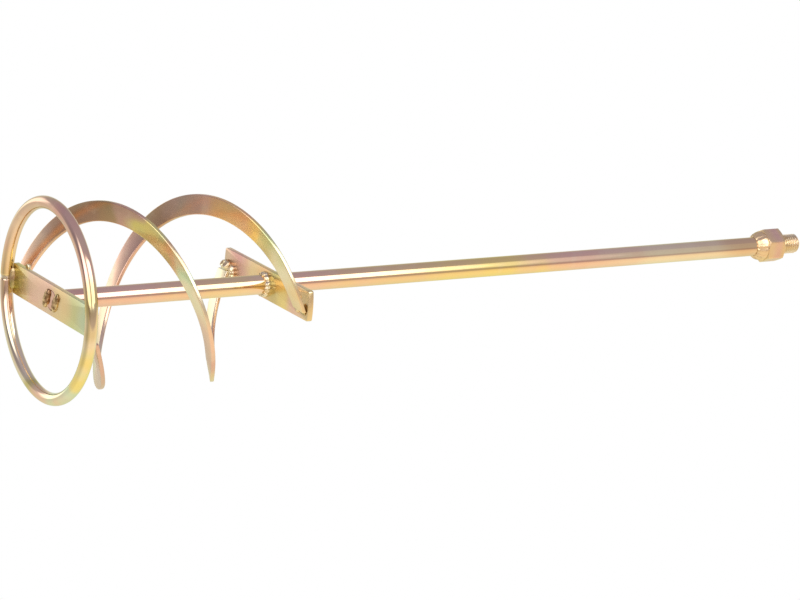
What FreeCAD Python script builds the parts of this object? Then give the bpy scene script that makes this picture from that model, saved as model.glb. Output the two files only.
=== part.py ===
"""Mortar mixing paddle for a hand-held mixer, as a welded assembly.

Frame: +Z runs along the shaft from the guard ring at the bottom to the threaded end at the top,
the two crossbars lie along X, and z = 0 is the underside of the ring. All sizes are millimetres
and angles degrees. Blade angles turn from +X towards +Y.
"""
import FreeCAD, Part
import math
import os

import Sketcher

DRIVING_SIZES = {
    # overall
    "overall_length": 606.0,
    "ring_diameter": 140.0,
    "wire_diameter": 8.8,
    "shaft_diameter": 13.6,
    # crossbars
    "bar_width": 21.0,
    "bar_thickness": 4.0,
    "bar_hole_clearance": 0.1,
    "lower_bar_offset": 2.2,
    "ring_seat_clearance": 0.1,
    "bar_spacing": 161.0,
    "upper_bar_inset": 3.3,
    # blades
    "blade_inset": 5.7,
    "blade_width": 13.8,
    "blade_thickness": 3.2,
    "blade_seat_clearance": 0.05,
    "blade_root_gap": 0.9,
    "blade_edge_clearance": 0.15,
    "first_blade_end_angle": 4.0,
    "first_blade_start_angle": 5.0,
    "second_blade_end_angle": 4.0,
    # threaded adapter
    "hex_across_flats": 22.0,
    "hex_length": 14.0,
    "hex_chamfer": 1.0,
    "hex_roll": 4.5,
    "thread_diameter": 14.0,
    "thread_pitch": 2.0,
    "thread_depth": 1.227,
    "thread_length": 16.0,
    "thread_tip_chamfer": 1.4,
    # weld beads
    "collar_weld_height": 7.5,
    "collar_weld_leg": 4.0,
    "shaft_weld_height": 4.5,
    "shaft_weld_leg": 2.2,
    "end_bead_length": 15.0,
    "end_bead_width": 6.4,
    "end_bead_height": 2.2,
    "end_bead_lean": 25.0,
    "ring_bead_length": 15.0,
    "ring_bead_inset": 2.55,
    "ring_bead_drop": 0.9,
    "ring_bead_thickness": 4.6,
    "blade_bead_length": 13.0,
    "blade_bead_thickness": 5.0,
    "blade_bead_setback": 3.0,
    "seam_angle": 179.0,
    "seam_width": 2.4,
    "seam_recess": 0.3,
}

DERIVED_SIZES = {
    "wire_radius": "=wire_diameter / 2",
    "ring_path_radius": "=ring_diameter / 2 - wire_radius",
    "seam_span": "=seam_width / ring_path_radius * 180 / pi",
    "shaft_radius": "=shaft_diameter / 2",
    "bar_hole_radius": "=shaft_radius + bar_hole_clearance",
    "lower_bar_bottom": "=wire_radius + lower_bar_offset",
    "lower_bar_top": "=lower_bar_bottom + bar_thickness",
    "lower_bar_reach": "=ring_path_radius - sqrt(wire_radius ^ 2 - lower_bar_offset ^ 2)"
                       " - ring_seat_clearance",
    "upper_bar_bottom": "=lower_bar_bottom + bar_spacing",
    "upper_bar_top": "=upper_bar_bottom + bar_thickness",
    "blade_outer_radius": "=ring_diameter / 2 - blade_inset",
    "upper_bar_reach": "=blade_outer_radius - upper_bar_inset",
    "blade_inner_radius": "=blade_outer_radius - blade_width",
    # the angle that half the bar's width takes up at the blade's inner edge
    "bar_half_angle": "=asin((bar_width / 2 + blade_edge_clearance) / blade_inner_radius) / 1 deg",
    "blade_top": "=upper_bar_bottom - blade_seat_clearance",
    "first_blade_bottom": "=lower_bar_top + blade_root_gap",
    # the second blade starts beside the bar, resting on the round of the ring's wire
    "second_blade_bottom": "=wire_radius + blade_seat_clearance"
                           " + sqrt(max(0; wire_radius ^ 2 - (ring_path_radius - blade_outer_radius) ^ 2))",
    "blade_bead_path": "=blade_inner_radius - blade_bead_thickness / 2",
    "thread_radius": "=thread_diameter / 2",
    "shoulder_level": "=overall_length - thread_length",
    "hex_bottom": "=shoulder_level - hex_length",
    "hex_corner_radius": "=hex_across_flats / sqrt(3)",
}

doc = FreeCAD.newDocument("mixing_paddle")
sizes = doc.addObject("Spreadsheet::Sheet", "sizes")
part_nodes = []


def fill_sheet():
    """One row per size: its name, and its number or its formula under that alias."""
    rows = list(DRIVING_SIZES.items()) + list(DERIVED_SIZES.items())
    for row, (alias, content) in enumerate(rows, start=1):
        sizes.set(f"A{row}", alias)
        sizes.setAlias(f"B{row}", alias)
    for row, (alias, content) in enumerate(rows, start=1):
        sizes.set(f"B{row}", str(content))
    doc.recompute()


def value(alias):
    """The number that the sheet holds or works out for a size."""
    return float(sizes.get(alias))


def bound(formula):
    """The same formula with every size written as a cell of the sheet."""
    names = sorted(list(DRIVING_SIZES) + list(DERIVED_SIZES), key=len, reverse=True)
    for index, name in enumerate(names):
        formula = formula.replace(name, f"<{index}>")
    for index, name in enumerate(names):
        formula = formula.replace(f"<{index}>", f"sizes.{name}")
    return formula


def bind(thing, **formulas):
    """Ties properties to the sheet; a dot in a property's name is written as two underscores."""
    for name, formula in formulas.items():
        thing.setExpression(name.replace("__", "."), bound(formula))


def value_of(formula):
    """A plain formula of sizes, worked out by a spare cell of the sheet."""
    sizes.set("D1", "=" + formula)
    doc.recompute()
    return float(sizes.get("D1"))


def turned(angle):
    """A placement turned about the shaft's axis by a formula's angle."""
    axis = FreeCAD.Vector(0, 0, 1)
    return FreeCAD.Placement(FreeCAD.Vector(0, 0, 0), FreeCAD.Rotation(axis, value_of(angle)))


def keep(thing, label):
    """Marks a finished sub-part, which is written to a file of its own."""
    thing.Label = label
    part_nodes.append(thing)
    return thing


def new_body(name):
    return doc.addObject("PartDesign::Body", name)


def new_sketch(body, role, name):
    """An empty sketch on one of the body's own origin planes."""
    sketch = body.newObject("Sketcher::SketchObject", name)
    plane = [item for item in body.Origin.OriginFeatures if item.Role == role][0]
    sketch.AttachmentSupport = [(plane, "")]
    sketch.MapMode = "FlatFace"
    return sketch


def size_constraint(sketch, constraint, name, formula):
    """Adds a named constraint that follows a formula of the sheet."""
    index = sketch.addConstraint(constraint)
    sketch.renameConstraint(index, name)
    sketch.setExpression(f"Constraints.{name}", bound(formula))


def outline(sketch, corners):
    """A closed outline of straight edges, each corner a pair of formulas for its two places."""
    count = len(corners)
    for index in range(count):
        step = FreeCAD.Vector(math.cos(math.tau * index / count), math.sin(math.tau * index / count), 0)
        following = math.tau * (index + 1) / count
        next_step = FreeCAD.Vector(math.cos(following), math.sin(following), 0)
        middle = FreeCAD.Vector(100, 100, 0)
        sketch.addGeometry(Part.LineSegment(middle + step * 9, middle + next_step * 9), False)
    for index in range(count):
        sketch.addConstraint(Sketcher.Constraint("Coincident", index, 2, (index + 1) % count, 1))
    for index, (across, along) in enumerate(corners):
        from_axis = Sketcher.Constraint("DistanceX", -1, 1, index, 1, 100)
        size_constraint(sketch, from_axis, f"across{index}", across)
        from_base = Sketcher.Constraint("DistanceY", -1, 1, index, 1, 100)
        size_constraint(sketch, from_base, f"along{index}", along)


def circle(sketch, radius):
    """A circle about the sketch's origin."""
    index = sketch.addGeometry(Part.Circle(FreeCAD.Vector(0, 0, 0), FreeCAD.Vector(0, 0, 1), 5), False)
    sketch.addConstraint(Sketcher.Constraint("Coincident", index, 3, -1, 1))
    size_constraint(sketch, Sketcher.Constraint("Radius", index, 5), f"radius{index}", radius)


def pad(body, sketch, name, length):
    feature = body.newObject("PartDesign::Pad", name)
    feature.Profile = sketch
    bind(feature, Length=length)
    return feature


def turn(body, kind, sketch, name):
    """A Revolution or a Groove of a sketch about its own vertical axis."""
    feature = body.newObject(f"PartDesign::{kind}", name)
    feature.Profile = sketch
    feature.ReferenceAxis = (sketch, ["V_Axis"])
    feature.Angle = 360
    return feature


def make_ring():
    """The guard ring: one round wire bent to a circle, with a narrow gap where its ends meet."""
    ring = doc.addObject("Part::Torus", "guard_ring_wire")
    bind(ring, Radius1="ring_path_radius", Radius2="wire_radius", Angle3="(360 - seam_span) * 1 deg")
    ring.Placement = turned("seam_angle + seam_span")
    bind(ring, Placement__Base__z="wire_radius", Placement__Rotation__Angle="seam_angle + seam_span")
    return keep(ring, "ring")


def make_crossbar(label, reach, level):
    """A flat bar with rounded ends and a hole for the shaft."""
    body = new_body(label)
    sketch = new_sketch(body, "XY_Plane", f"{label}_outline")
    half_width = value("bar_width") / 2
    end_radius = 60.0
    end_angle = math.asin(half_width / end_radius)
    end_x = end_radius * math.cos(end_angle)
    centre = Part.Circle(FreeCAD.Vector(0, 0, 0), FreeCAD.Vector(0, 0, 1), end_radius)
    upper_left = FreeCAD.Vector(-end_x, half_width, 0)
    upper_right = FreeCAD.Vector(end_x, half_width, 0)
    lower_right = FreeCAD.Vector(end_x, -half_width, 0)
    lower_left = FreeCAD.Vector(-end_x, -half_width, 0)
    sketch.addGeometry(Part.LineSegment(upper_left, upper_right), False)
    sketch.addGeometry(Part.ArcOfCircle(centre, -end_angle, end_angle), False)
    sketch.addGeometry(Part.LineSegment(lower_right, lower_left), False)
    sketch.addGeometry(Part.ArcOfCircle(centre, math.pi - end_angle, math.pi + end_angle), False)
    for first, first_end, second, second_end in ((0, 2, 1, 2), (1, 1, 2, 1), (2, 2, 3, 2), (3, 1, 0, 1)):
        sketch.addConstraint(Sketcher.Constraint("Coincident", first, first_end, second, second_end))
    for arc in (1, 3):
        sketch.addConstraint(Sketcher.Constraint("Coincident", arc, 3, -1, 1))
        size_constraint(sketch, Sketcher.Constraint("Radius", arc, end_radius), f"reach{arc}", reach)
    for line in (0, 2):
        sketch.addConstraint(Sketcher.Constraint("Horizontal", line))
    upper = Sketcher.Constraint("DistanceY", -1, 1, 0, 1, half_width)
    size_constraint(sketch, upper, "upper_edge", "bar_width / 2")
    lower = Sketcher.Constraint("DistanceY", 2, 1, -1, 1, half_width)
    size_constraint(sketch, lower, "lower_edge", "bar_width / 2")
    circle(sketch, "bar_hole_radius")
    pad(body, sketch, f"{label}_plate", "bar_thickness")
    bind(body, Placement__Base__z=level)
    return keep(body, label)


def make_shaft():
    """The round bar: its lower end is flush with the lower crossbar, its upper end meets the hex."""
    body = new_body("shaft")
    sketch = new_sketch(body, "XY_Plane", "shaft_section")
    circle(sketch, "shaft_radius")
    pad(body, sketch, "shaft_bar", "hex_bottom - lower_bar_bottom")
    bind(body, Placement__Base__z="lower_bar_bottom")
    return keep(body, "shaft")


def make_blade(label, bottom, top, start_angle, turned_angle):
    """A flat strip wound on edge into a right-handed helix, its wide face across the shaft."""
    body = new_body(label)
    sketch = new_sketch(body, "XZ_Plane", f"{label}_section")
    outline(sketch, [
        ("blade_inner_radius", "0 mm"),
        ("blade_outer_radius", "0 mm"),
        ("blade_outer_radius", "blade_thickness * 1 mm"),
        ("blade_inner_radius", "blade_thickness * 1 mm"),
    ])
    helix = body.newObject("PartDesign::AdditiveHelix", f"{label}_strip")
    helix.Profile = sketch
    helix.ReferenceAxis = (sketch, ["V_Axis"])
    helix.Mode = 0
    helix.LeftHanded = False
    rise = f"({top} - ({bottom}) - blade_thickness)"
    bind(helix, Height=rise, Pitch=f"{rise} * 360 / ({turned_angle})")
    body.Placement = turned(start_angle)
    bind(body, Placement__Base__z=bottom, Placement__Rotation__Angle=start_angle)
    return keep(body, label)


def make_adapter():
    """The hexagon for the spanner with the male thread that screws into the mixer's spindle."""
    body = new_body("threaded_adapter")
    hexagon = new_sketch(body, "XY_Plane", "hexagon")
    corners = []
    for index in range(6):
        angle = 60 * index
        corners.append((f"hex_corner_radius * cos({angle} deg)", f"hex_corner_radius * sin({angle} deg)"))
    outline(hexagon, corners)
    pad(body, hexagon, "hexagon_block", "hex_length")

    chamfer = new_sketch(body, "XZ_Plane", "corner_chamfers")
    outer = "(hex_corner_radius + 1)"
    inner = "(hex_across_flats / 2)"
    fall = f"hex_chamfer * ({outer} - {inner}) / (hex_corner_radius - {inner})"
    outline(chamfer, [(inner, "hex_length"), (outer, f"hex_length - {fall}"), (outer, "hex_length")])
    turn(body, "Groove", chamfer, "corner_chamfer_cut")

    stud = new_sketch(body, "XZ_Plane", "stud_outline")
    tip = "(hex_length + thread_length)"
    outline(stud, [
        ("0 mm", "hex_length / 2"),
        ("thread_radius", "hex_length / 2"),
        ("thread_radius", f"{tip} - thread_tip_chamfer"),
        ("thread_radius - thread_tip_chamfer", tip),
        ("0 mm", tip),
    ])
    turn(body, "Revolution", stud, "stud")

    groove = new_sketch(body, "XZ_Plane", "thread_groove")
    middle = "(hex_length + thread_pitch * 0.6)"
    open_half = "(thread_pitch * 7 / 16)"
    root_half = f"({open_half} - thread_depth * tan(30 deg))"
    root = "(thread_radius - thread_depth)"
    over = 0.2
    flare = f"({open_half} + {over} * tan(30 deg))"
    outline(groove, [
        (root, f"{middle} - {root_half}"),
        (f"thread_radius + {over}", f"{middle} - {flare}"),
        (f"thread_radius + {over}", f"{middle} + {flare}"),
        (root, f"{middle} + {root_half}"),
    ])
    cut = turn(body, "Groove", groove, "thread_groove_cut")
    doc.recompute()
    pattern = body.newObject("PartDesign::LinearPattern", "thread_grooves")
    pattern.Originals = [cut]
    pattern.Direction = (groove, ["V_Axis"])
    steps = "floor((thread_length - thread_tip_chamfer - thread_pitch) / thread_pitch)"
    bind(pattern, Length=f"thread_pitch * {steps}", Occurrences=f"{steps} + 1")
    body.Tip = pattern
    body.Placement = turned("30 + hex_roll")
    bind(body, Placement__Base__z="hex_bottom", Placement__Rotation__Angle="30 + hex_roll")
    return keep(body, "threaded_adapter")


def make_collar_weld(label, level, height, leg):
    """A fillet weld all round the shaft; height is negative where it runs down from its level."""
    body = new_body(label)
    sketch = new_sketch(body, "XZ_Plane", f"{label}_section")
    outline(sketch, [
        ("shaft_radius", level),
        (f"shaft_radius + {leg}", level),
        (f"shaft_radius + {leg} * 0.8", f"{level} + {height} * 0.45"),
        ("shaft_radius", f"{level} + {height}"),
    ])
    turn(body, "Revolution", sketch, f"{label}_bead")
    return keep(body, label)


def make_bead(label, path_radius, thickness, length, level, angle, neighbours):
    """A run of weld metal that curves about the shaft's axis, cut to fit whatever it touches.

    angle is where the middle of the run lies around the shaft."""
    run = doc.addObject("Part::Torus", f"{label}_run")
    span = f"(({length}) / ({path_radius}) * 180 / pi)"
    start = f"{angle} - {span} / 2"
    bind(run, Radius1=path_radius, Radius2=f"{thickness} / 2", Angle3=f"{span} * 1 deg")
    run.Placement = turned(start)
    bind(run, Placement__Base__z=level, Placement__Rotation__Angle=start)
    shape = run
    for index, neighbour in enumerate(neighbours):
        cut = doc.addObject("Part::Cut", f"{label}_cut{index}")
        cut.Base = shape
        cut.Tool = neighbour
        shape = cut
    return keep(shape, label)


def make_end_bead(label, side):
    """One of the two leaning beads across the shaft's end, on the outer face of the lower bar."""
    lump = doc.addObject("Part::Ellipsoid", f"{label}_lump")
    bind(lump, Radius1="end_bead_height", Radius2="end_bead_width / 2", Radius3="end_bead_length / 2")
    lump.Angle1 = -90
    lump.Angle2 = 0
    lump.Angle3 = 360
    lump.Placement = turned("end_bead_lean")
    bind(lump, Placement__Rotation__Angle="end_bead_lean", Placement__Base__z="lower_bar_bottom")
    bind(lump, Placement__Base__x=f"{side} * shaft_radius")
    return keep(lump, label)


def make_seam_weld():
    """The weld between the two ends of the wire, a little thinner than the wire."""
    weld = doc.addObject("Part::Torus", "seam_weld")
    bind(weld, Radius1="ring_path_radius", Radius2="wire_radius - seam_recess", Angle3="seam_span * 1 deg")
    weld.Placement = turned("seam_angle")
    bind(weld, Placement__Base__z="wire_radius", Placement__Rotation__Angle="seam_angle")
    return keep(weld, "ring_seam_weld")


def build():
    fill_sheet()
    ring = make_ring()
    lower_bar = make_crossbar("lower_crossbar", "lower_bar_reach", "lower_bar_bottom")
    upper_bar = make_crossbar("upper_crossbar", "upper_bar_reach", "upper_bar_bottom")
    make_shaft()
    blade_1 = make_blade(
        "blade_1", "first_blade_bottom", "blade_top", "180 + first_blade_start_angle",
        "360 - first_blade_start_angle - first_blade_end_angle")
    blade_2 = make_blade(
        "blade_2", "second_blade_bottom", "blade_top - blade_root_gap", "bar_half_angle",
        "360 - bar_half_angle + second_blade_end_angle")
    make_adapter()
    doc.recompute()

    make_collar_weld("adapter_weld", "hex_bottom", "-collar_weld_height", "collar_weld_leg")
    make_collar_weld("upper_bar_weld_below", "upper_bar_bottom", "-shaft_weld_height", "shaft_weld_leg")
    make_collar_weld("upper_bar_weld_above", "upper_bar_top", "shaft_weld_height", "shaft_weld_leg")
    make_collar_weld("lower_bar_weld_above", "lower_bar_top", "shaft_weld_height", "shaft_weld_leg")
    make_end_bead("shaft_end_weld_1", -1)
    make_end_bead("shaft_end_weld_2", 1)
    make_seam_weld()
    for index, side in enumerate((0, 180), start=1):
        make_bead(f"ring_weld_{index}", "lower_bar_reach - ring_bead_inset", "ring_bead_thickness",
                  "ring_bead_length", "lower_bar_bottom - ring_bead_drop", f"{side}", [lower_bar, ring])
    blade_bead = ("blade_bead_path", "blade_bead_thickness", "blade_bead_length")
    make_bead("blade_1_lower_weld", *blade_bead, "lower_bar_top + blade_root_gap",
              "180 + first_blade_start_angle + blade_bead_setback", [lower_bar])
    make_bead("blade_2_lower_weld", *blade_bead, "lower_bar_top",
              "bar_half_angle", [lower_bar])
    make_bead("blade_1_upper_weld", *blade_bead, "upper_bar_bottom",
              "180 - first_blade_end_angle - blade_bead_setback", [upper_bar])
    make_bead("blade_2_upper_weld", *blade_bead, "upper_bar_bottom - blade_root_gap",
              "second_blade_end_angle - blade_bead_setback", [upper_bar])
    doc.recompute()


def check():
    """Stops with the names of any object or sub-part that did not come out as a sound solid."""
    faults = [thing.Name for thing in doc.Objects if "Invalid" in thing.State or "Error" in thing.State]
    for node in part_nodes:
        shape = node.Shape
        if shape.isNull() or not shape.isValid() or len(shape.Solids) != 1:
            faults.append(f"{node.Label}: {'null' if shape.isNull() else len(shape.Solids)}")
    if faults:
        raise RuntimeError("not sound: " + ", ".join(faults))


def write():
    os.makedirs("parts", exist_ok=True)
    for node in part_nodes:
        node.Shape.exportStep(f"parts/{node.Label}.step")
        print(f"{node.Label:24s} {node.Shape.Volume:12.1f} mm3")


build()
check()
write()
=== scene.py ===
"""Looks of the mortar mixing paddle: a welded steel whisk with a yellow chromate over zinc finish.

The frame is the part's own: +Z runs up the shaft, the crossbars lie along X, and z = 0 is the
underside of the guard ring. Lengths are metres, and MM turns millimetres into metres.
"""
import math

import bmesh
import bpy
from mathutils import Matrix, Vector, noise


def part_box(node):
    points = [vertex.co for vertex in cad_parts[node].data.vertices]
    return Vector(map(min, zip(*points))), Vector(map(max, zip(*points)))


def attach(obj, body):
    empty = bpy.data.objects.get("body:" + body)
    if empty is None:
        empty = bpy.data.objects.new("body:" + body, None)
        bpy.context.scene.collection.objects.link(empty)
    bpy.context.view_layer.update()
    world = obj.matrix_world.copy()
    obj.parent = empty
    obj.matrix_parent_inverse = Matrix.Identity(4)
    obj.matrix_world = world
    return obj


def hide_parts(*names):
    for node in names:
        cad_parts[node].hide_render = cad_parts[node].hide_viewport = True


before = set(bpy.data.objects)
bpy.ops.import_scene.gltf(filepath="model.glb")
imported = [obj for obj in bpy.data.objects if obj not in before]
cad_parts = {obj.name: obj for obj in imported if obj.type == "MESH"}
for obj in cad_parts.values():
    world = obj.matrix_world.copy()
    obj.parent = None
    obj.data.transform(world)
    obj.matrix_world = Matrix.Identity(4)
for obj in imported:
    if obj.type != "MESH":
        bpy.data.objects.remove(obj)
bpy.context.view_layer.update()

MM = 0.001
TURN = 2 * math.pi

# sizes of the frame, read from its own nodes
RING_LOW, RING_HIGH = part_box("ring")
LOWER_LOW, LOWER_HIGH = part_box("lower_crossbar")
UPPER_LOW, UPPER_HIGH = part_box("upper_crossbar")
SHAFT_LOW, SHAFT_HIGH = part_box("shaft")
ADAPTER_LOW, ADAPTER_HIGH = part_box("threaded_adapter")
WIRE_RADIUS = (RING_HIGH.z - RING_LOW.z) / 2
RING_PATH = RING_HIGH.y - WIRE_RADIUS
SHAFT_RADIUS = SHAFT_HIGH.x

# sizes that the boxes do not give, the same as in the part
BLADE_INSET = 5.7 * MM
BLADE_WIDTH = 13.8 * MM
BLADE_THICKNESS = 3.2 * MM
BLADE_EDGE_CLEARANCE = 0.15 * MM
FIRST_START = math.radians(5)
FIRST_END = math.radians(4)
SECOND_END = math.radians(4)
HEX_FLATS = 22 * MM
HEX_LENGTH = 14 * MM
HEX_CHAMFER = 1.0 * MM
HEX_ROLL = math.radians(34.5)
THREAD_RADIUS = 7 * MM
THREAD_PITCH = 2 * MM
THREAD_DEPTH = 1.227 * MM
THREAD_CHAMFER = 1.4 * MM
BAR_HOLE_CLEARANCE = 0.1 * MM
SEAM_ANGLE = math.radians(179)
SEAM_WIDTH = 2.4 * MM
BEAD_RUN = 15 * MM

BLADE_OUTER = RING_HIGH.y - BLADE_INSET
BLADE_INNER = BLADE_OUTER - BLADE_WIDTH
BAR_HALF_WIDTH = LOWER_HIGH.y
SECOND_START = math.asin((BAR_HALF_WIDTH + BLADE_EDGE_CLEARANCE) / BLADE_INNER)
SEAM_SPAN = SEAM_WIDTH / RING_PATH

# directions of the picture: up in it, towards the viewer, and along the shaft
PICTURE_UP = Vector((-0.2560, -0.9667, 0.0))
TO_VIEWER = Vector((0.9667, -0.2560, 0.0))
ALONG_SHAFT = Vector((0.0, 0.0, 1.0))


def linear(red, green, blue):
    """A colour of 0 to 255 steps as the linear colour that a shader takes."""
    steps = [channel / 255 for channel in (red, green, blue)]
    return tuple(s / 12.92 if s <= 0.04045 else ((s + 0.055) / 1.055) ** 2.4 for s in steps) + (1.0,)


# ---------------------------------------------------------------- mesh making

def polar(radius, angle, height):
    return Vector((radius * math.cos(angle), radius * math.sin(angle), height))


def lumps(place, scale, size, seed):
    """A soft random value between -size and size at a place, with lumps about scale across."""
    return size * noise.noise(place / scale + Vector((seed, 2 * seed, 3 * seed)))


def loft(name, loops, cyclic=False, sharp=30, along=None):
    """A closed mesh through equal loops of points, capped at both ends unless it is cyclic.

    along gives each loop's place on the UV map's first axis; the second axis runs round the loop."""
    form = bmesh.new()
    uv_layer = form.loops.layers.uv.new("run")
    rows = [[form.verts.new(point) for point in loop] for loop in loops]
    count = len(loops[0])
    steps = along or [index / (len(loops) - 1) for index in range(len(loops))]
    last = len(rows) if cyclic else len(rows) - 1
    for row in range(last):
        following = (row + 1) % len(rows)
        here = steps[row]
        there = steps[following] if following else 1.0
        for column in range(count):
            beside = (column + 1) % count
            face = form.faces.new((
                rows[row][column], rows[row][beside], rows[following][beside], rows[following][column]))
            across = column / count
            across_next = (column + 1) / count
            corners = ((here, across), (here, across_next), (there, across_next), (there, across))
            for corner, place in zip(face.loops, corners):
                corner[uv_layer].uv = place
    if not cyclic:
        for row, step in ((rows[0], steps[0]), (rows[-1], steps[-1])):
            cap = form.faces.new(row)
            for corner in cap.loops:
                corner[uv_layer].uv = (step, 0.5)
    bmesh.ops.recalc_face_normals(form, faces=form.faces)
    mesh = bpy.data.meshes.new(name)
    form.to_mesh(mesh)
    form.free()
    mesh.shade_smooth()
    mesh.set_sharp_from_angle(angle=math.radians(sharp))
    piece = bpy.data.objects.new(name, mesh)
    bpy.context.scene.collection.objects.link(piece)
    return piece


def finish_piece(piece, material, slot, *nodes):
    """Gives a piece its material and body, and hides the CAD nodes that it stands for. The slot is not
    used.
    """
    piece.data.materials.append(material)
    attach(piece, "root")
    if nodes:
        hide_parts(*nodes)
    return piece


def rounded_rectangle(width, height, radius, steps=4):
    """The outline of a flat strip's section about its own middle, with rounded corners."""
    points = []
    for corner, (side_x, side_y) in enumerate(((1, 1), (-1, 1), (-1, -1), (1, -1))):
        for step in range(steps + 1):
            angle = TURN / 4 * (corner + step / steps)
            x = side_x * (width / 2 - radius) + radius * math.cos(angle)
            y = side_y * (height / 2 - radius) + radius * math.sin(angle)
            points.append((x, y))
    return points


# ---------------------------------------------------------------- pieces

def ring_point(angle, turn, radius):
    """A point at a radius from the middle of the ring's wire, turned round the wire and the axis."""
    return polar(RING_PATH + radius * math.cos(turn), angle, WIRE_RADIUS + radius * math.sin(turn))


def ring_piece():
    """The bent wire of the guard ring, with its ends rounded over beside the seam."""
    segments = 300
    sides = 32
    start = SEAM_ANGLE + SEAM_SPAN
    span = TURN - SEAM_SPAN
    round_over = 0.7 * MM
    loops = []
    stations = [index / segments for index in range(segments + 1)]
    fine = round_over / (RING_PATH * span)
    stations[1:1] = [fine * 0.3, fine]
    stations[-1:-1] = [1 - fine, 1 - fine * 0.3]
    for share in stations:
        angle = start + span * share
        edge = min(share, 1 - share) * span * RING_PATH
        over = max(0.0, 1 - edge / round_over)
        radius = WIRE_RADIUS - round_over * (1 - math.sqrt(max(0.0, 1 - over * over)))
        loops.append([ring_point(angle, TURN * side / sides, radius) for side in range(sides)])
    return loft("guard_ring", loops, along=stations)


def bar_radius(angle, reach, half_width):
    """How far a bar's rounded outline lies from the shaft's axis at an angle."""
    sharpness = 90
    to_side = half_width / max(abs(math.sin(angle)), 1e-6)
    return (reach ** -sharpness + to_side ** -sharpness) ** (-1 / sharpness)


def bar_piece(name, low, high):
    """A flat bar with rolled edges, round ends and the hole for the shaft."""
    edge = 0.4 * MM
    reach = high.x
    half_width = high.y
    hole = SHAFT_RADIUS + BAR_HOLE_CLEARANCE
    corner = math.asin(half_width / reach)
    angles = []
    for middle in (0, math.pi):
        angles += [middle + corner * step / 16 for step in range(-24, 25)]
    for middle in (math.pi / 2, 3 * math.pi / 2):
        reach_of_side = math.pi / 2 - corner * 1.5
        angles += [middle + reach_of_side * step / 20 for step in range(-19, 20)]
    angles.sort()
    into_hole = ((hole, low.z + edge / 2), (hole + edge / 2, low.z))
    out_of_hole = ((hole + edge / 2, high.z), (hole, high.z - edge / 2))
    part_edge = edge * 0.3
    rim = (
        (edge, low.z), (part_edge, low.z + part_edge), (0, low.z + edge),
        (0, high.z - edge), (part_edge, high.z - part_edge), (edge, high.z))
    loops = [[polar(radius, angle, height) for angle in angles] for radius, height in into_hole]
    for inset, height in rim:
        loops.append([
            polar(bar_radius(angle, reach - inset, half_width - inset), angle, height) for angle in angles])
    loops += [[polar(radius, angle, height) for angle in angles] for radius, height in out_of_hole]
    return loft(name, loops, cyclic=True, sharp=40)


def shaft_piece():
    """The drawn round bar, with a small chamfer at each end."""
    sides = 96
    chamfer = 0.5 * MM
    stations = [(SHAFT_RADIUS - chamfer, SHAFT_LOW.z), (SHAFT_RADIUS, SHAFT_LOW.z + chamfer)]
    middle_steps = 60
    for step in range(1, middle_steps):
        height = SHAFT_LOW.z + (SHAFT_HIGH.z - SHAFT_LOW.z) * step / middle_steps
        stations.append((SHAFT_RADIUS, height))
    stations += [(SHAFT_RADIUS, SHAFT_HIGH.z - chamfer), (SHAFT_RADIUS - chamfer, SHAFT_HIGH.z)]
    angles = [TURN * side / sides for side in range(sides)]
    loops = [[polar(radius, angle, height) for angle in angles] for radius, height in stations]
    return loft("drawn_shaft", loops)


def blade_piece(name, node, start, turned, bends):
    """A strip wound on edge up a right-handed helix, with rolled edges and softened ends.

    bends are where hand winding left it off the true helix: the angle, how far each way along the
    strip it shows, how much steeper the strip rises there, and how far it is pulled in or out."""
    low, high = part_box(node)
    rise = high.z - low.z - BLADE_THICKNESS
    corner = 0.8 * MM
    segments = 300
    middle_radius = (BLADE_OUTER + BLADE_INNER) / 2
    length = math.hypot(middle_radius * turned, rise)
    rounding = 0.6 * MM
    softened = rounding / length
    stations = [index / segments for index in range(segments + 1)]
    stations[1:1] = [softened * 0.35, softened]
    stations[-1:-1] = [1 - softened, 1 - softened * 0.35]
    loops = []
    for share in stations:
        angle = start + turned * share
        base = low.z + BLADE_THICKNESS / 2 + rise * share
        radius = middle_radius
        for bend_angle, spread, steeper, outward in bends:
            away = angle - bend_angle
            fade = math.exp(-0.5 * (away / spread) ** 2)
            base += steeper * away * fade
            radius += outward * fade
        end = max(0.0, 1 - min(share, 1 - share) / softened)
        inset = 2 * rounding * (1 - math.sqrt(max(0.0, 1 - end * end)))
        section = rounded_rectangle(BLADE_WIDTH - inset, BLADE_THICKNESS - inset, corner - inset / 3)
        loops.append([polar(radius + across, angle, base + up) for across, up in section])
    return loft(name, loops, along=stations)


def thread_radius(angle, height, shoulder, tip):
    """How far the thread's surface stands from the axis: a right-handed 60 degree vee."""
    phase = ((height - shoulder) / THREAD_PITCH - angle / TURN) % 1.0
    from_crest = abs(phase - 0.5) * THREAD_PITCH
    slope = (THREAD_PITCH / 2 - from_crest - THREAD_PITCH / 8) / math.tan(math.radians(30))
    depth = min(max(slope, 0.0), THREAD_DEPTH)
    runout = min(max((height - shoulder) / (0.6 * THREAD_PITCH), 0.0), 1.0)
    lead_in = THREAD_RADIUS - THREAD_CHAMFER + max(tip - height, 0.0)
    return min(THREAD_RADIUS - (THREAD_DEPTH - depth) * runout, lead_in)


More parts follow.
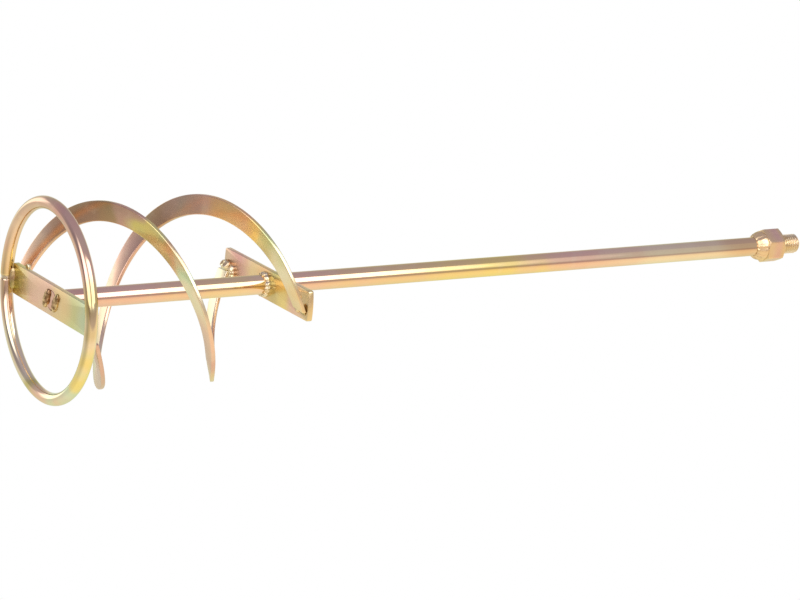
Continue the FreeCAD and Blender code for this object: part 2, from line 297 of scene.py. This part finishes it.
def adapter_piece():
    """The hexagon with its chamfered corners, and the helical thread above it."""
    sides = 144
    angles = [TURN * side / sides + HEX_ROLL for side in range(sides)]
    bottom = ADAPTER_LOW.z
    tip = ADAPTER_HIGH.z
    shoulder = bottom + HEX_LENGTH
    flat = HEX_FLATS / 2
    corner = flat / math.cos(math.pi / 6)

    def hex_radius(angle, height):
        beside = (angle - HEX_ROLL) % (TURN / 6) - TURN / 12
        face = flat / math.cos(beside)
        from_end = min(shoulder - height, height - bottom)
        chamfer = flat + from_end * (corner - flat) / HEX_CHAMFER
        rounded = corner - 0.12 * MM
        return min(face, chamfer, rounded)

    offsets = [0, 0.1, 0.25, 0.5, 0.75, 1.0]
    levels = [bottom + HEX_CHAMFER * share for share in offsets]
    levels += [bottom + HEX_CHAMFER + (HEX_LENGTH - 2 * HEX_CHAMFER) * step / 12 for step in range(1, 12)]
    levels += [shoulder - HEX_CHAMFER * share for share in reversed(offsets)]
    loops = [[polar(SHAFT_RADIUS * 0.6, angle, bottom) for angle in angles]]
    loops += [[polar(hex_radius(angle, level), angle, level) for angle in angles] for level in levels]
    rows = 130
    for row in range(rows + 1):
        height = shoulder + (tip - shoulder) * row / rows
        loops.append([
            polar(thread_radius(angle, height, shoulder, tip), angle, height) for angle in angles])
    return loft("threaded_end", loops, sharp=38)


def collar_piece(node, way, ripple, seed, fullness=0.86, swell=0.8):
    """A fillet weld round the shaft: overlapping puddles with an uneven edge, within its node's box.

    way is 1 for a weld that runs up the shaft from its base, and -1 for one that runs down. fullness
    is how much of the box it fills, and swell is 1 for a round profile and 2 for a straight one."""
    low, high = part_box(node)
    leg_along = high.z - low.z
    leg_out = high.x - SHAFT_RADIUS
    base = low.z if way > 0 else high.z
    around = 144
    puddles = 13
    steps = 12
    loops = []
    for step in range(around):
        angle = TURN * step / around
        spot = polar(SHAFT_RADIUS, angle, base)
        scallop = abs(math.sin(puddles * angle / 2 + lumps(spot, 5 * MM, 1.5, seed)))
        reach = fullness + ripple * (scallop - 0.5) + lumps(spot, 4 * MM, ripple, seed)
        loop = [polar(SHAFT_RADIUS - 0.3 * MM, angle, base)]
        for k in range(steps + 1):
            bend = TURN / 4 * k / steps
            spot = polar(leg_along * k, angle, base)
            wobble = 1 + lumps(spot, 2.2 * MM, ripple, seed + 5) * math.sin(2 * bend)
            out = leg_out * min(math.cos(bend) ** swell * reach * wobble, 1.0)
            along = leg_along * min(math.sin(bend) ** swell * reach * wobble, 1.0)
            loop.append(polar(SHAFT_RADIUS + out, angle, base + way * along))
        loops.append(loop)
    return loft(f"{node}_bead", loops, cyclic=True, sharp=80)


def bead_piece(name, path, width, height, up, seed, puddles=5, sink=0.25, roughness=0.30):
    """A run of weld along a path: a lumpy mound whose underside is sunk a little into the metal.

    path is a function of 0 to 1, and up is the way that the mound stands off the metal. puddles is
    how many overlapping ones show along it, and sink is the share of its height that lies below."""
    stations = 40
    sides = 24
    up = Vector(up).normalized()
    loops = []
    for step in range(stations + 1):
        share = step / stations
        here = path(share)
        ahead = (path(min(share + 0.01, 1)) - path(max(share - 0.01, 0))).normalized()
        side = ahead.cross(up).normalized()
        taper = max(1 - abs(2 * share - 1) ** 3.2, 0.02) ** 0.5
        ripple = 0.86 + 0.14 * abs(math.cos(math.pi * puddles * share))
        loop = []
        for corner in range(sides):
            turn = TURN * corner / sides
            rough = 1 + lumps(here + side * math.cos(turn) * width, 2.4 * MM, roughness, seed)
            out = width / 2 * math.cos(turn) * taper * rough
            rise = math.sin(turn)
            lift = height * rise * taper * ripple * rough if rise > 0 else height * sink * rise
            loop.append(here + side * out + up * lift)
        loops.append(loop)
    return loft(name, loops, sharp=80)


# ---------------------------------------------------------------- materials

def new_material(name):
    """An empty material with one Principled shader, and its tree and that shader."""
    material = bpy.data.materials.new(name)
    material.use_nodes = True
    nodes = material.node_tree.nodes
    nodes.clear()
    output = nodes.new("ShaderNodeOutputMaterial")
    shader = nodes.new("ShaderNodeBsdfPrincipled")
    material.node_tree.links.new(shader.outputs["BSDF"], output.inputs["Surface"])
    return material, material.node_tree, shader


def noise_node(tree, coordinates, scale, detail=2.0, distortion=0.0, stretch=(1, 1, 1)):
    """A noise texture read at stretched coordinates."""
    mapping = tree.nodes.new("ShaderNodeMapping")
    mapping.inputs["Scale"].default_value = stretch
    tree.links.new(coordinates, mapping.inputs["Vector"])
    texture = tree.nodes.new("ShaderNodeTexNoise")
    texture.inputs["Scale"].default_value = scale
    texture.inputs["Detail"].default_value = detail
    texture.inputs["Distortion"].default_value = distortion
    tree.links.new(mapping.outputs["Vector"], texture.inputs["Vector"])
    return texture.outputs["Fac"]


def ramp_node(tree, factor, stops):
    """A smooth colour ramp of (place, colour) stops."""
    ramp = tree.nodes.new("ShaderNodeValToRGB")
    ramp.color_ramp.interpolation = "EASE"
    elements = ramp.color_ramp.elements
    while len(elements) < len(stops):
        elements.new(0.5)
    for element, (place, colour) in zip(elements, stops):
        element.position = place
        element.color = colour
    tree.links.new(factor, ramp.inputs["Fac"])
    return ramp.outputs["Color"]


def mix_node(tree, factor, first, second, blend="MIX"):
    """Two colours mixed. Each value is a fixed one or another node's output."""
    mix = tree.nodes.new("ShaderNodeMix")
    mix.data_type = "RGBA"
    mix.blend_type = blend
    for value, name in ((factor, 0), (first, 6), (second, 7)):
        if isinstance(value, (int, float, tuple)):
            mix.inputs[name].default_value = value
        else:
            tree.links.new(value, mix.inputs[name])
    return mix.outputs[2]


def range_node(tree, value, low, high, to_low, to_high):
    """A value between low and high, moved smoothly to lie between two others."""
    node = tree.nodes.new("ShaderNodeMapRange")
    node.interpolation_type = "SMOOTHSTEP"
    for name, number in (("From Min", low), ("From Max", high), ("To Min", to_low), ("To Max", to_high)):
        node.inputs[name].default_value = number
    tree.links.new(value, node.inputs["Value"])
    return node.outputs["Result"]


GOLD = linear(238, 208, 158)
PALE = linear(240, 224, 196)
PINK = linear(238, 196, 176)
ROSE = linear(222, 168, 160)
MAUVE = linear(214, 174, 160)
GREEN = linear(210, 214, 158)
MINT = linear(206, 224, 190)
OLIVE = linear(208, 190, 124)
YELLOW = linear(244, 222, 132)
BROWN = linear(190, 150, 118)
ORANGE = linear(244, 196, 144)
BRONZE = linear(222, 184, 148)
# dark weld scale, and painted shade where a finish has much of it
SCALE_AND_SHADE = linear(132, 100, 66)

# the order of tints along each strip, the shaft and the adapter, round the ring, and along each bar
# from -X to +X
BLADE_1_RUN = [
    (0.00, PINK), (0.05, PINK), (0.09, MAUVE), (0.14, BROWN), (0.20, BROWN), (0.25, BROWN),
    (0.28, ROSE), (0.315, YELLOW), (0.355, GREEN), (0.39, BRONZE), (0.425, MINT), (0.46, PALE),
    (0.54, PINK), (0.62, ROSE), (0.70, GOLD), (0.80, PINK), (1.00, PALE)]
BLADE_2_RUN = [
    (0.00, ROSE), (0.10, ROSE), (0.20, PINK), (0.30, PALE), (0.38, PINK), (0.44, PINK), (0.52, MAUVE),
    (0.60, BROWN), (0.67, MAUVE), (0.71, PINK), (0.76, ORANGE), (0.80, ORANGE), (0.83, YELLOW),
    (0.87, GREEN), (0.93, PALE), (1.00, GOLD)]
RING_RUN = [
    (0.00, GOLD), (0.08, PINK), (0.18, MAUVE), (0.30, ROSE), (0.40, PINK), (0.47, OLIVE), (0.53, PALE),
    (0.59, YELLOW), (0.66, MINT), (0.73, PINK), (0.78, OLIVE), (0.82, PALE), (0.90, PALE), (1.00, PINK)]
# the lower bar starts olive at its -X end beside the ring: partly weld heat tint, partly painted shade and
# reflection of the ring
BAR_RUN = [
    (0.00, OLIVE), (0.07, YELLOW), (0.14, GOLD), (0.24, PINK), (0.46, PINK), (0.62, GOLD),
    (0.78, GREEN), (0.90, MINT), (1.00, PINK)]
TOP_BAR_RUN = [
    (0.00, PINK), (0.20, ROSE), (0.34, GOLD), (0.46, ORANGE), (0.58, OLIVE), (0.70, YELLOW),
    (0.82, PINK), (1.00, GOLD)]
ADAPTER_RUN = [
    (0.00, GOLD), (0.30, PINK), (0.46, GOLD), (0.50, PALE), (1.00, PALE)]
SHAFT_RUN = [
    (0.00, ROSE), (0.12, PINK), (0.25, GOLD), (0.34, PINK), (0.46, GOLD), (0.60, YELLOW), (0.72, PINK),
    (0.84, PALE), (1.00, BRONZE)]
DRIFT = [(0.34, PINK), (0.44, GOLD), (0.54, GREEN), (0.64, GOLD), (0.74, ROSE)]
# where a run starts and ends on the pieces whose place says it, and along which axis
RUN_AXES = {"bar": ("X", -LOWER_HIGH.x, LOWER_HIGH.x), "end": ("Z", ADAPTER_LOW.z, ADAPTER_HIGH.z)}
# how much of the tint is the loose drift, where a piece has a run
DRIFT_SHARE = 0.22


def run_place(tree, source, wander):
    """Where a point lies in a run of tints, 0 to 1, shifted a little by the wandering noise.

    source is "strip" for a piece whose UV map says it, or one of the names in RUN_AXES."""
    if source == "strip":
        layout = tree.nodes.new("ShaderNodeUVMap")
        layout.uv_map = "run"
        vector = layout.outputs["UV"]
        axis = "X"
        low = 0.0
        high = 1.0
    else:
        vector = tree.nodes.new("ShaderNodeTexCoord").outputs["Object"]
        axis, low, high = RUN_AXES[source]
    scale = 1 / (high - low)
    split = tree.nodes.new("ShaderNodeSeparateXYZ")
    tree.links.new(vector, split.inputs["Vector"])
    spread = range_node(tree, wander, 0.2, 0.8, -0.03, 0.03)
    place = tree.nodes.new("ShaderNodeMath")
    place.operation = "MULTIPLY_ADD"
    tree.links.new(split.outputs[axis], place.inputs[0])
    place.inputs[1].default_value = scale
    place.inputs[2].default_value = -low * scale
    total = tree.nodes.new("ShaderNodeMath")
    total.operation = "ADD"
    tree.links.new(place.outputs["Value"], total.inputs[0])
    tree.links.new(spread, total.inputs[1])
    return total.outputs["Value"]


def plated_material(name, drift=DRIFT, run=None, source="strip", deep=1.0, stretch=(1, 1, 1),
                    drift_scale=20.0, gloss=(0.10, 0.16), grain=0.015, crust_and_shade=0.0, seed=0.0):
    """Yellow chromate over zinc: a metal whose tint drifts through gold, pink, green and blue-green.

    run is the order of tints along a piece. Without it the tint comes from the drift alone. deep below
    1 darkens the finish, and crust is how much dark scale lies on it in random patches of noise; set
    high, as in the darker weld finish, it is painted shade as well."""
    material, tree, shader = new_material(name)
    coordinates = tree.nodes.new("ShaderNodeTexCoord")
    shifted = tree.nodes.new("ShaderNodeMapping")
    shifted.inputs["Location"].default_value = (seed, seed * 2, seed * 3)
    tree.links.new(coordinates.outputs["Object"], shifted.inputs["Vector"])
    place = shifted.outputs["Vector"]

    tint = ramp_node(tree, noise_node(tree, place, drift_scale, 1.0, 0.4, stretch), drift)
    if run:
        wander = noise_node(tree, place, 45.0, detail=1.0)
        tint = mix_node(tree, DRIFT_SHARE, ramp_node(tree, run_place(tree, source, wander), run), tint)
    cloud = noise_node(tree, place, 110.0, detail=2.0)
    worn = mix_node(tree, range_node(tree, cloud, 0.52, 0.75, 0.0, 0.18), tint, PALE)
    specks = noise_node(tree, place, 800.0, detail=2.0)
    dusty = mix_node(tree, range_node(tree, specks, 0.60, 0.80, 0.0, 0.10), worn, BROWN)
    scale = noise_node(tree, place, 420.0, detail=3.0)
    # dark scale in random patches of noise; where crust is high, as in the darker weld finish, it is
    # painted shade
    scale_and_shade_tint = mix_node(tree, range_node(tree, scale, 0.44, 0.60, crust_and_shade, 0.0), dusty, SCALE_AND_SHADE)
    deepened = mix_node(tree, 1.0, scale_and_shade_tint, (deep, deep, deep, 1.0), blend="MULTIPLY")
    tree.links.new(deepened, shader.inputs["Base Color"])
    shader.inputs["Metallic"].default_value = 1.0
    shader.inputs["Specular Tint"].default_value = linear(232, 240, 222)

    smear = noise_node(tree, place, 260.0, detail=3.0, stretch=stretch)
    tree.links.new(range_node(tree, smear, 0.3, 0.7, *gloss), shader.inputs["Roughness"])
    fine = noise_node(tree, place, 2200.0, detail=3.0, stretch=stretch)
    bump = tree.nodes.new("ShaderNodeBump")
    bump.inputs["Strength"].default_value = grain
    bump.inputs["Distance"].default_value = 0.0002
    tree.links.new(fine, bump.inputs["Height"])
    tree.links.new(bump.outputs["Normal"], shader.inputs["Normal"])
    return material


# ---------------------------------------------------------------- the object

def weld_arc(radius, level, middle, length):
    """A path round the axis, its middle at an angle."""
    span = length / radius

    def path(share):
        return polar(radius, middle + span * (share - 0.5), level)
    return path


def straight(start, end):
    """A path along a line."""
    def path(share):
        return start.lerp(end, share)
    return path


def seam_piece():
    """The weld that closes the ring, a little lower than the wire's surface and uneven."""
    sides = 32
    steps = 8
    sunk = 0.45 * MM
    loops = []
    for step in range(steps + 1):
        share = step / steps
        angle = SEAM_ANGLE + SEAM_SPAN * share
        loop = []
        for side in range(sides):
            turn = TURN * side / sides
            spot = ring_point(angle, turn, WIRE_RADIUS)
            radius = WIRE_RADIUS - sunk + lumps(spot, 2 * MM, 0.2 * MM, 7)
            loop.append(ring_point(angle, turn, radius))
        loops.append(loop)
    return loft("ring_seam_bead", loops)


def make_finishes():
    """The plated finish of each piece, by name."""
    strip_look = {"gloss": (0.23, 0.28), "grain": 0.004}
    bar_look = {"source": "bar", "gloss": (0.24, 0.30)}
    return {
        "wire": plated_material("plated_wire", run=RING_RUN, gloss=(0.06, 0.10), grain=0.006, seed=0.3),
        "strip_1": plated_material("plated_strip_1", run=BLADE_1_RUN, seed=1.1, **strip_look),
        "strip_2": plated_material("plated_strip_2", run=BLADE_2_RUN, seed=2.3, **strip_look),
        "bar": plated_material("plated_bar", run=BAR_RUN, deep=0.98, seed=3.7, **bar_look),
        "top_bar": plated_material("plated_top_bar", run=TOP_BAR_RUN, seed=7.9, **bar_look),
        "rod": plated_material(
            "plated_shaft", run=SHAFT_RUN, drift=[(0.35, PINK), (0.50, GOLD), (0.65, PALE)],
            stretch=(1, 1, 0.15), gloss=(0.07, 0.11), grain=0.006, seed=4.9),
        "end": plated_material(
            "plated_adapter", drift=[(0.35, BRONZE), (0.50, GOLD), (0.65, PINK)], run=ADAPTER_RUN,
            source="end", deep=0.95, drift_scale=50.0, gloss=(0.26, 0.36), seed=5.3),
        "weld": plated_material(
            "weld_metal", drift=[(0.35, GOLD), (0.50, PALE), (0.65, GOLD)], crust_and_shade=0.15,
            drift_scale=90.0, gloss=(0.10, 0.22), grain=0.20, seed=6.1),
        # a darker, browner copy of the weld finish with much scale: weld scale, and painted shade on the
        # beads across the shaft's end and over the pocket at the upper bar's end
        "weld_painted_shade": plated_material(
            "weld_metal_scale_and_painted_shade", drift=[(0.35, BROWN), (0.50, GOLD), (0.65, OLIVE)], crust_and_shade=0.8,
            deep=0.9, drift_scale=90.0, gloss=(0.12, 0.26), grain=0.25, seed=8.3),
        "bar_weld": plated_material(
            "weld_metal_smooth", drift=[(0.35, OLIVE), (0.50, BROWN), (0.65, GOLD)], crust_and_shade=0.3,
            deep=0.9, drift_scale=60.0, gloss=(0.20, 0.30), grain=0.05, seed=9.7),
    }


def build_steel(finishes):
    """The ring, the bars, the shaft, the two strips and the threaded end."""
    finish_piece(ring_piece(), finishes["wire"], "plated_wire", "ring")
    lower = bar_piece("lower_bar", LOWER_LOW, LOWER_HIGH)
    upper = bar_piece("upper_bar", UPPER_LOW, UPPER_HIGH)
    finish_piece(lower, finishes["bar"], "plated_bar", "lower_crossbar")
    finish_piece(upper, finishes["top_bar"], "plated_bar", "upper_crossbar")
    finish_piece(shaft_piece(), finishes["rod"], "plated_shaft", "shaft")
    picture_down = math.atan2(-PICTURE_UP.y, -PICTURE_UP.x)
    first = blade_piece(
        "wound_strip_1", "blade_1", math.pi + FIRST_START, TURN - FIRST_START - FIRST_END,
        [(picture_down + TURN, 0.45, 7.0 * MM, -1.3 * MM)])
    second = blade_piece(
        "wound_strip_2", "blade_2", SECOND_START, TURN - SECOND_START + SECOND_END,
        [(picture_down, 0.45, -4.0 * MM, -2.8 * MM), (TURN + SECOND_END, 0.30, 0.0, -3.2 * MM)])
    finish_piece(first, finishes["strip_1"], "plated_strip", "blade_1")
    finish_piece(second, finishes["strip_2"], "plated_strip", "blade_2")
    # the shaft's long highlight stays clean, without the strips' images in it
    first.visible_glossy = False
    second.visible_glossy = False
    finish_piece(adapter_piece(), finishes["end"], "plated_adapter", "threaded_adapter")


def build_shaft_welds(finishes):
    """The collars round the shaft, and the two leaning beads across its lower end."""
    collar = collar_piece("adapter_weld", -1, 0.08, 1, fullness=0.99, swell=1.4)
    finish_piece(collar, finishes["end"], "weld_metal", "adapter_weld")
    bar_collars = (("upper_bar_weld_below", -1), ("upper_bar_weld_above", 1), ("lower_bar_weld_above", 1))
    for seed, (node, way) in enumerate(bar_collars, start=2):
        finish_piece(collar_piece(node, way, 0.22, seed), finishes["weld"], "weld_metal", node)

    lean = math.radians(25)
    half_run = Vector((-math.sin(lean), math.cos(lean), 0)) * BEAD_RUN / 2
    for number, side in ((1, -1), (2, 1)):
        middle = Vector((side * SHAFT_RADIUS, 0, LOWER_LOW.z))
        path = straight(middle - half_run, middle + half_run)
        piece = bead_piece(
            f"shaft_end_bead_{number}", path, 6.2 * MM, 2.2 * MM, (0, 0, -1), 10 + number,
            puddles=0, roughness=0.14)
        # the darker weld finish paints the shade on these beads
        finish_piece(piece, finishes["weld_painted_shade"], "weld_metal", f"shaft_end_weld_{number}")


def build_ring_welds(finishes):
    """The beads in the corners under the lower bar's ends, and the ring's own seam."""
    for number, side in ((1, 0.0), (2, math.pi)):
        path = weld_arc(LOWER_HIGH.x - 1.9 * MM, LOWER_LOW.z - 0.5 * MM, side, BEAD_RUN)
        up = (-math.cos(side), 0, -1)
        piece = bead_piece(
            f"ring_bead_{number}", path, 5.2 * MM, 1.6 * MM, up, 20 + number, puddles=0, roughness=0.08)
        finish_piece(piece, finishes["bar_weld"], "weld_metal", f"ring_weld_{number}")
    finish_piece(seam_piece(), finishes["weld"], "weld_metal", "ring_seam_weld")


def build_strip_welds(finishes):
    """The beads along the strips' ends on the bars, and one across each upper end; the one at the second
    strip's end is a thin bead in the darker weld finish, laid over the pocket by the bar's end as painted
    shade.
    """
    aside = math.radians(3)
    beads = (
        ("blade_1_lower_weld", LOWER_HIGH.z, math.pi + FIRST_START + aside, 1),
        ("blade_2_lower_weld", LOWER_HIGH.z, SECOND_START, 1),
        ("blade_1_upper_weld", UPPER_LOW.z, math.pi - FIRST_END - aside, -1),
        ("blade_2_upper_weld", UPPER_LOW.z, SECOND_END - aside, -1),
    )
    for seed, (node, level, angle, up) in enumerate(beads, start=30):
        path = weld_arc(BLADE_INNER - 2.2 * MM, level, angle, 13 * MM)
        piece = bead_piece(f"{node}_bead", path, 5.0 * MM, 2.8 * MM, (0, 0, up), seed)
        finish_piece(piece, finishes["weld"], "weld_metal", node)

    level = UPPER_LOW.z - 1.4 * MM
    inner = BLADE_INNER + 1 * MM
    tip = math.pi - FIRST_END + 0.06
    across = straight(polar(inner, tip, level), polar(BLADE_OUTER - 3 * MM, tip, level))
    piece = bead_piece(
        "strip_end_bead_1", across, 6.6 * MM, 2.6 * MM, (0, -0.6, -1), 41, puddles=0, roughness=0.4)
    finish_piece(piece, finishes["weld"], "weld_metal")
    # a thin wide bead in the darker weld finish: weld across the second strip's end, and painted shade over
    # the pocket between the strip and the bar's end
    tip = SECOND_END
    across = straight(polar(inner, tip, level), polar(UPPER_HIGH.x - 2 * MM, tip, level))
    piece = bead_piece(
        "strip_end_painted_shade_2", across, 9.0 * MM, 1.2 * MM, (0, 0.6, -1), 43, puddles=2, roughness=0.15)
    finish_piece(piece, finishes["weld_painted_shade"], "weld_metal")


# ---------------------------------------------------------------- the studio

def make_floor():
    """A pale floor under the ring. It shows only from above, so the view from below looks past it."""
    half = 4.0
    form = bmesh.new()
    outline = ((-half, -half), (half, -half), (half, half), (-half, half))
    form.faces.new([form.verts.new((x, y, 0)) for x, y in outline])
    mesh = bpy.data.meshes.new("floor")
    form.to_mesh(mesh)
    form.free()
    floor = bpy.data.objects.new("floor", mesh)
    bpy.context.scene.collection.objects.link(floor)
    floor.location.z = RING_LOW.z - 0.2 * MM

    material, tree, shader = new_material("pale_floor")
    coordinates = tree.nodes.new("ShaderNodeTexCoord")
    cloud = noise_node(tree, coordinates.outputs["Object"], 40.0, detail=2.0)
    tone = ramp_node(tree, cloud, [(0.3, linear(244, 244, 243)), (0.7, linear(246, 246, 245))])
    tree.links.new(tone, shader.inputs["Base Color"])
    shader.inputs["Roughness"].default_value = 0.9
    clear = tree.nodes.new("ShaderNodeBsdfTransparent")
    geometry = tree.nodes.new("ShaderNodeNewGeometry")
    mix = tree.nodes.new("ShaderNodeMixShader")
    tree.links.new(geometry.outputs["Backfacing"], mix.inputs["Fac"])
    tree.links.new(shader.outputs["BSDF"], mix.inputs[1])
    tree.links.new(clear.outputs["BSDF"], mix.inputs[2])
    output = next(node for node in tree.nodes if node.type == "OUTPUT_MATERIAL")
    tree.links.new(mix.outputs["Shader"], output.inputs["Surface"])
    floor.data.materials.append(material)
    floor.visible_glossy = False
    floor.visible_diffuse = False
    floor.visible_shadow = False
    floor.visible_transmission = False


WORLD_SCALE = 2.4
# light round the shaft, by its angle from the viewer's side up over the top of the picture
WORLD_RING = [
    (-180, (0.88, 0.85, 0.80)), (-150, (1.00, 0.96, 0.84)), (-110, (1.02, 0.98, 0.80)),
    (-60, (1.10, 0.98, 0.74)), (-36, (1.00, 0.85, 0.66)), (-28, (0.60, 0.50, 0.48)),
    (-16, (0.50, 0.43, 0.42)), (-9, (0.60, 0.60, 0.60)), (40, (0.58, 0.57, 0.60)),
    (55, (0.47, 0.45, 0.56)), (110, (0.45, 0.43, 0.56)), (140, (0.55, 0.54, 0.60)),
    (160, (0.95, 0.93, 0.92)), (180, (0.88, 0.85, 0.80))]
# the bright band in front, a little above the camera
WORLD_BAND = [
    (-180, (0, 0, 0)), (-12, (0, 0, 0)), (-6, (1.7, 1.7, 1.7)), (38, (1.7, 1.7, 1.7)), (48, (0, 0, 0)),
    (180, (0, 0, 0))]
BAND_ALONG = [(-1.0, 0.0), (-0.26, 0.0), (-0.08, 1.0), (0.30, 1.0), (0.42, 0.0), (1.0, 0.0)]
# the bright table in front and below, which mostly the ring's wire sees
WORLD_TABLE = [
    (-180, (0, 0, 0)), (-16, (0, 0, 0)), (-6, (1.9, 1.9, 1.9)), (58, (1.9, 1.9, 1.9)), (86, (0, 0, 0)),
    (180, (0, 0, 0))]
TABLE_ALONG = [
    (-1.0, 0.3), (-0.97, 0.8), (-0.90, 1.0), (-0.70, 1.0), (-0.50, 0.55), (-0.38, 0.0), (1.0, 0.0)]
# a bright window behind and a little above
WORLD_WINDOW = [
    (-180, (0, 0, 0)), (140, (0, 0, 0)), (152, (1.0, 1.0, 1.0)), (168, (1.0, 1.0, 1.0)), (178, (0, 0, 0)),
    (180, (0, 0, 0))]
WINDOW_ALONG = [(-1.0, 0.0), (-0.50, 0.0), (-0.40, 1.0), (-0.10, 1.0), (0.02, 0.0), (1.0, 0.0)]
# and how much light there is, by the share of the direction that points up the shaft
WORLD_ALONG = [(-1.0, 0.46), (-0.95, 0.50), (-0.86, 0.66), (-0.60, 0.90), (-0.45, 1.0), (1.0, 1.0)]


def make_world():
    """A white room: bright in front, below and behind, dimmer overhead and beyond the ring's end."""
    world = bpy.data.worlds.new("studio")
    bpy.context.scene.world = world
    world.use_nodes = True
    tree = world.node_tree
    tree.nodes.clear()
    output = tree.nodes.new("ShaderNodeOutputWorld")
    coordinates = tree.nodes.new("ShaderNodeTexCoord").outputs["Generated"]

    def towards(direction):
        node = tree.nodes.new("ShaderNodeVectorMath")
        node.operation = "DOT_PRODUCT"
        tree.links.new(coordinates, node.inputs[0])
        node.inputs[1].default_value = direction
        return node.outputs["Value"]

    def linear_range(value, low, high):
        node = tree.nodes.new("ShaderNodeMapRange")
        node.inputs["From Min"].default_value = low
        node.inputs["From Max"].default_value = high
        tree.links.new(value, node.inputs["Value"])
        return node.outputs["Result"]

    around = tree.nodes.new("ShaderNodeMath")
    around.operation = "ARCTAN2"
    tree.links.new(towards(PICTURE_UP), around.inputs[0])
    tree.links.new(towards(TO_VIEWER), around.inputs[1])
    turned = linear_range(around.outputs["Value"], -math.pi, math.pi)
    risen = linear_range(towards(ALONG_SHAFT), -1.0, 1.0)

    def by_angle(table):
        stops = [
            (0.5 + angle / 360, tuple(channel / WORLD_SCALE for channel in colour) + (1.0,))
            for angle, colour in table]
        return ramp_node(tree, turned, stops)

    def by_rise(table):
        stops = [(0.5 + share / 2, (level, level, level, 1.0)) for share, level in table]
        return ramp_node(tree, risen, stops)

    ring = mix_node(tree, 1.0, by_angle(WORLD_RING), by_rise(WORLD_ALONG), blend="MULTIPLY")
    band = mix_node(tree, 1.0, by_angle(WORLD_BAND), by_rise(BAND_ALONG), blend="MULTIPLY")
    window = mix_node(tree, 1.0, by_angle(WORLD_WINDOW), by_rise(WINDOW_ALONG), blend="MULTIPLY")
    table = mix_node(tree, 1.0, by_angle(WORLD_TABLE), by_rise(TABLE_ALONG), blend="MULTIPLY")
    lights = mix_node(tree, 1.0, mix_node(tree, 1.0, band, table, blend="ADD"), window, blend="ADD")
    room = tree.nodes.new("ShaderNodeBackground")
    tree.links.new(mix_node(tree, 1.0, ring, lights, blend="ADD"), room.inputs["Color"])
    room.inputs["Strength"].default_value = WORLD_SCALE

    backdrop = tree.nodes.new("ShaderNodeBackground")
    backdrop.inputs["Color"].default_value = (1.0, 1.0, 1.0, 1.0)
    backdrop.inputs["Strength"].default_value = 1.0
    path = tree.nodes.new("ShaderNodeLightPath")
    mix = tree.nodes.new("ShaderNodeMixShader")
    tree.links.new(path.outputs["Is Glossy Ray"], mix.inputs["Fac"])
    tree.links.new(backdrop.outputs["Background"], mix.inputs[1])
    tree.links.new(room.outputs["Background"], mix.inputs[2])
    tree.links.new(mix.outputs["Shader"], output.inputs["Surface"])


PANEL_DISTANCE = 0.8
PANEL_WIDTH = 0.70
PANEL_ANGLE = math.radians(19)
# the long soft panel in front of the paddle, which fades out towards the threaded end
PANEL_STEPS = [(0.30, 0.755, 1.9), (0.755, 0.820, 0.9), (0.820, 0.875, 0.42), (0.875, 0.960, 0.18)]


def make_panel():
    """The panel in strips of falling strength, unseen by the camera."""
    way = TO_VIEWER * math.cos(PANEL_ANGLE) + PICTURE_UP * math.sin(PANEL_ANGLE)
    across = ALONG_SHAFT.cross(way)
    for number, (low, high, level) in enumerate(PANEL_STEPS, start=1):
        data = bpy.data.lights.new(f"panel_{number}", "AREA")
        data.shape = "RECTANGLE"
        data.size = PANEL_WIDTH
        data.size_y = high - low
        data.energy = level * math.pi * data.size * data.size_y
        lamp = bpy.data.objects.new(f"panel_{number}", data)
        turned = Matrix((across, ALONG_SHAFT, way)).transposed()
        middle = way * PANEL_DISTANCE + ALONG_SHAFT * (low + high) / 2
        lamp.matrix_world = Matrix.Translation(middle) @ turned.to_4x4()
        lamp.visible_camera = False
        bpy.context.scene.collection.objects.link(lamp)


def make_camera():
    """The picture's own viewpoint: from below the ring, turned on its side, through a long lens."""
    place = Vector((2.50108, -0.75067, -1.21127))
    target = Vector((-0.00759, 0.02135, 0.27917))
    roll = math.radians(-85.393)
    data = bpy.data.cameras.new("camera")
    data.sensor_width = 36
    data.lens = 195.06
    data.clip_start = 0.1
    data.clip_end = 50
    camera = bpy.data.objects.new("camera", data)
    forward = (target - place).normalized()
    level_right = forward.cross(Vector((0, 0, 1))).normalized()
    level_up = level_right.cross(forward)
    up = level_up * math.cos(roll) + level_right * math.sin(roll)
    right = forward.cross(up)
    turned = Matrix((right, up, -forward)).transposed()
    camera.matrix_world = Matrix.Translation(place) @ turned.to_4x4()
    bpy.context.scene.collection.objects.link(camera)
    bpy.context.scene.camera = camera


make_camera()
make_world()
make_panel()
make_floor()
finishes = make_finishes()
build_steel(finishes)
build_shaft_welds(finishes)
build_ring_welds(finishes)
build_strip_welds(finishes)
bpy.context.scene.view_settings.view_transform = "Standard"
